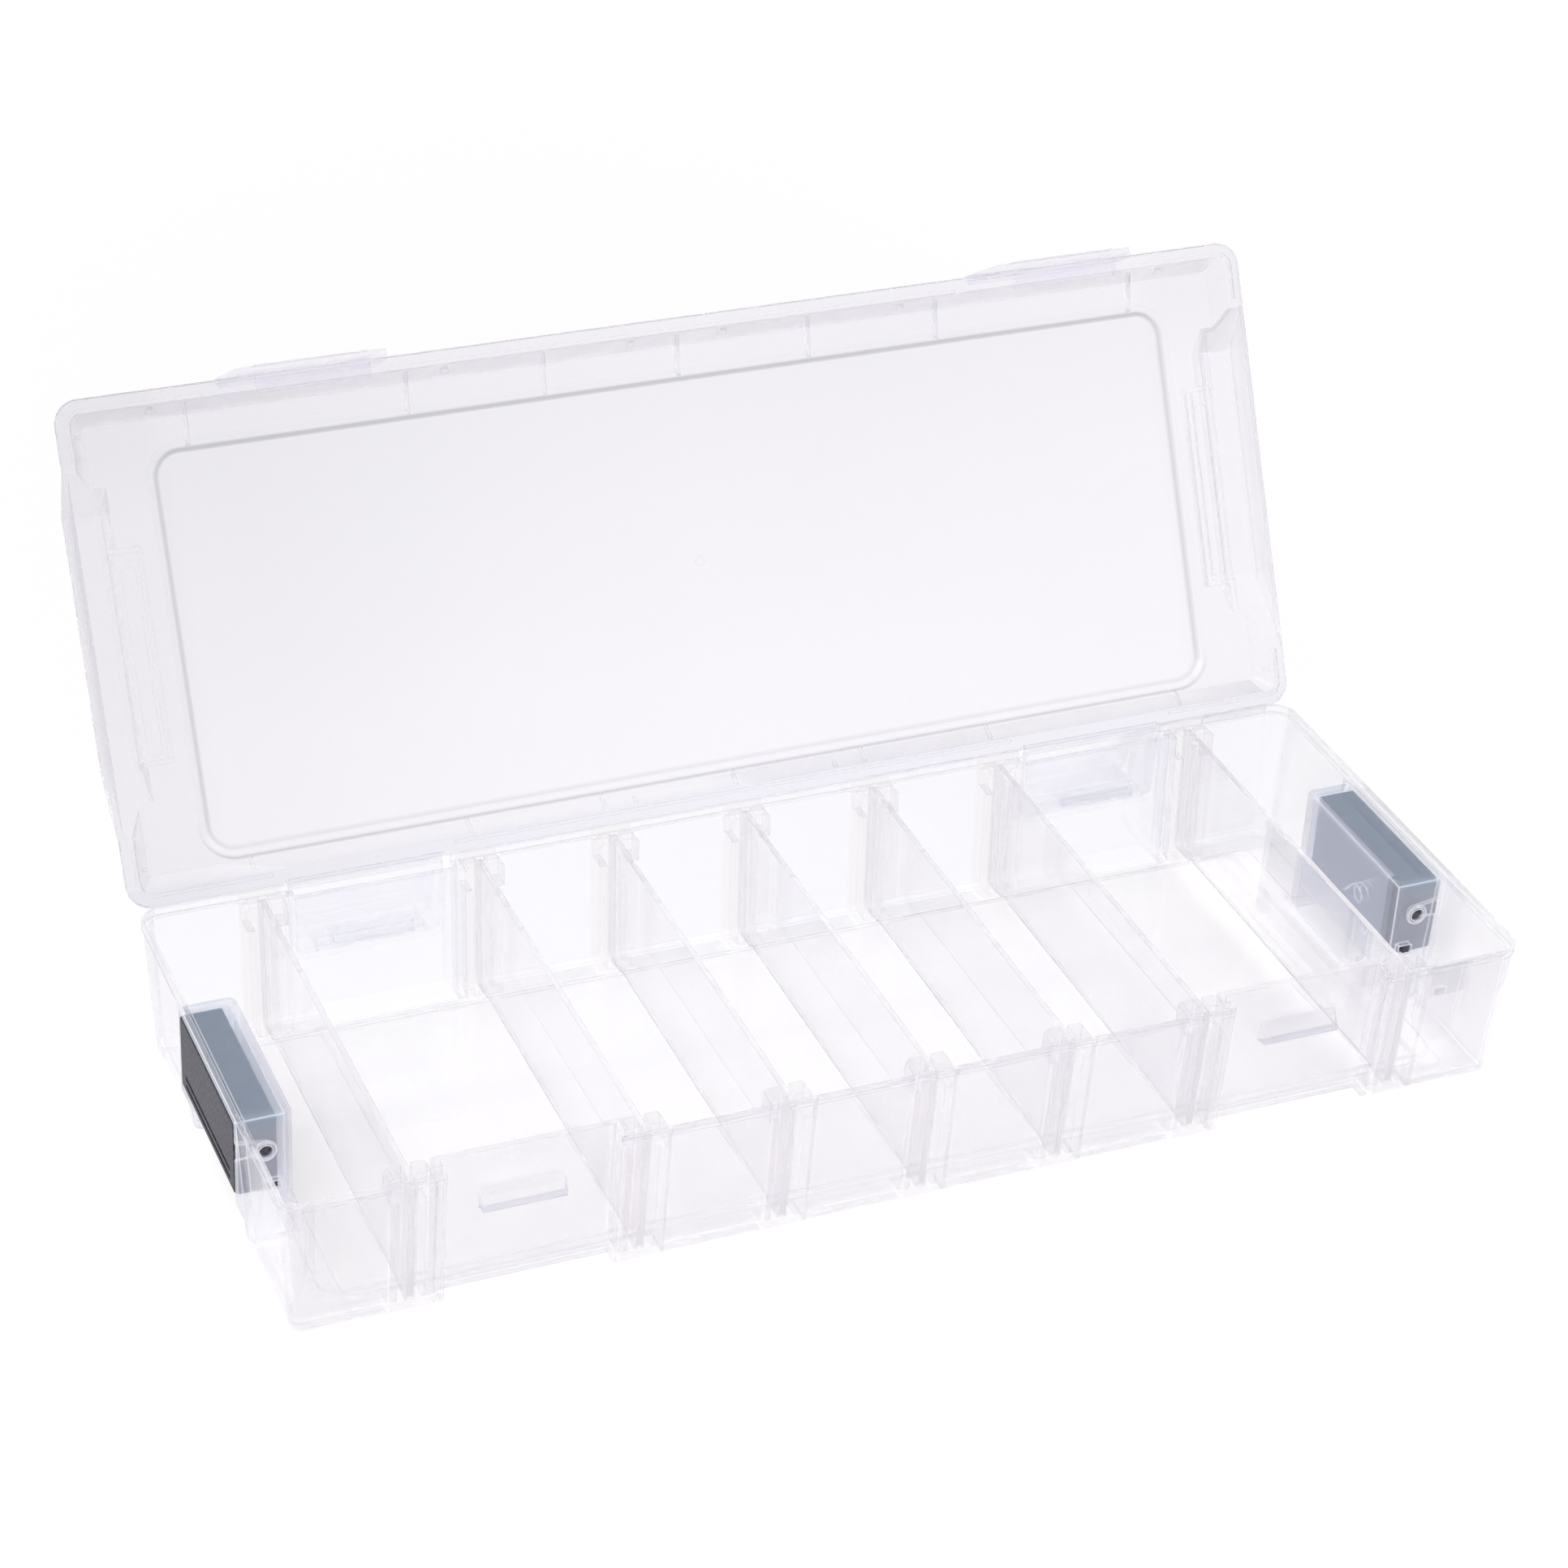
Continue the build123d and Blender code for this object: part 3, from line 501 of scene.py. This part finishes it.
def floor_lift(tree):
    """The strength of the floor's lift: more far away, and painted light under the case and under
    its right end, where the case casts its shadow.
    """
    place = object_place(tree)
    x, y, _ = split(tree, place)
    distance = vector_maths(tree, "LENGTH", place)
    out_x, out_y = maths(tree, "ABSOLUTE", x), maths(tree, "ABSOLUTE", y)
    # Painted light under the case and its right end, which hides their shadow on the floor
    under = product(tree, fade(tree, out_y, *UNDER_CASE_PAINTED_LIGHT_BY_Y), fade(tree, out_x, *UNDER_CASE_PAINTED_LIGHT_BY_X))
    painted_light_right_end = product(tree, fade(tree, off(tree, x, RIGHT_END_X), *RIGHT_END_PAINTED_LIGHT_BY_X),
                        below(tree, out_y, RIGHT_END_Y))
    lift = total(tree, fade(tree, distance, *FLOOR_BY_DISTANCE),
                 fade(tree, distance, *FLOOR_BY_FAR_DISTANCE), under, painted_light_right_end)
    return product(tree, seen_rays(tree), lift)


FLOOR_SIZE, FLOOR_Z = 6, -0.0002
bpy.ops.mesh.primitive_plane_add(size=FLOOR_SIZE, location=(0, 0, FLOOR_Z))
floor = bpy.context.object
floor.name = "floor"
floor_material, floor_tree, floor_output = new_material("floor")
floor_shader = floor_tree.nodes.new("ShaderNodeBsdfPrincipled")
floor_shader.inputs["Base Color"].default_value = (0.9, 0.9, 0.9, 1)
floor_shader.inputs["Roughness"].default_value = 0.9
floor_shader.inputs["Specular IOR Level"].default_value = 0.0
floor_shader.inputs["Emission Color"].default_value = (1.0, 0.985, 0.98, 1)
floor_tree.links.new(floor_lift(floor_tree), floor_shader.inputs["Emission Strength"])
floor_tree.links.new(floor_shader.outputs["BSDF"], floor_output.inputs["Surface"])
floor.data.materials.append(floor_material)

# The world is white where it is seen, and lights the case at a plain level
world = bpy.data.worlds.new("studio")
world.use_nodes = True
scene.world = world
world_tree = world.node_tree
world_tree.nodes.clear()
surroundings = world_tree.nodes.new("ShaderNodeBackground")
surroundings.inputs["Color"].default_value = (0.98, 0.985, 1.0, 1)
surroundings.inputs["Strength"].default_value = 0.62
backdrop = world_tree.nodes.new("ShaderNodeBackground")
backdrop.inputs["Color"].default_value = (1, 1, 1, 1)
backdrop.inputs["Strength"].default_value = 1.0
world_shader = mixed_shader(world_tree, seen_rays(world_tree), surroundings, backdrop)
world_output = world_tree.nodes.new("ShaderNodeOutputWorld")
world_tree.links.new(world_shader.outputs[0], world_output.inputs["Surface"])


def soft_light(name, place, target, size, power):
    """A large square lamp aimed at a point."""
    data = bpy.data.lights.new(name, "AREA")
    data.size = size
    data.energy = power
    lamp = bpy.data.objects.new(name, data)
    scene.collection.objects.link(lamp)
    lamp.location = place
    lamp.rotation_mode = "QUATERNION"
    lamp.rotation_quaternion = (Vector(target) - Vector(place)).to_track_quat("-Z", "Y")


LAMP_TARGET = (0, 0, 0.05)
soft_light("key_light", (-0.9, -0.7, 1.6), LAMP_TARGET, 1.4, 14.0)
soft_light("fill_light", (1.3, -0.6, 1.1), LAMP_TARGET, 1.2, 6.0)

# Camera solved from the straight edges in the photograph
IMAGE_SIDE = 1932
FOCAL_PIXELS = 5009.9
SENSOR_WIDTH = 36
CAMERA_PLACE = (-0.4212, -0.8896, 0.7185)
azimuth, elevation, roll = math.radians(24.32), math.radians(32.30), math.radians(3.30)
camera_data = bpy.data.cameras.new("camera")
camera_data.sensor_width = SENSOR_WIDTH
camera_data.lens = FOCAL_PIXELS / IMAGE_SIDE * SENSOR_WIDTH
camera_data.clip_start = 0.01
camera_data.clip_end = 20
camera = bpy.data.objects.new("camera", camera_data)
scene.collection.objects.link(camera)
ahead = Vector((
    math.sin(azimuth) * math.cos(elevation),
    math.cos(azimuth) * math.cos(elevation),
    -math.sin(elevation),
))
right = ahead.cross(Vector((0, 0, 1))).normalized()
up = right.cross(ahead)
turned_right = right * math.cos(roll) + up * math.sin(roll)
turned_up = up * math.cos(roll) - right * math.sin(roll)
turn = Matrix((turned_right, turned_up, -ahead)).transposed().to_4x4()
camera.matrix_world = Matrix.Translation(CAMERA_PLACE) @ turn
scene.camera = camera

scene.view_settings.view_transform = "Standard"
# Light crosses many thin walls
scene.cycles.transparent_max_bounces = 96
scene.cycles.max_bounces = 40
scene.cycles.transmission_bounces = 40
scene.cycles.glossy_bounces = 12
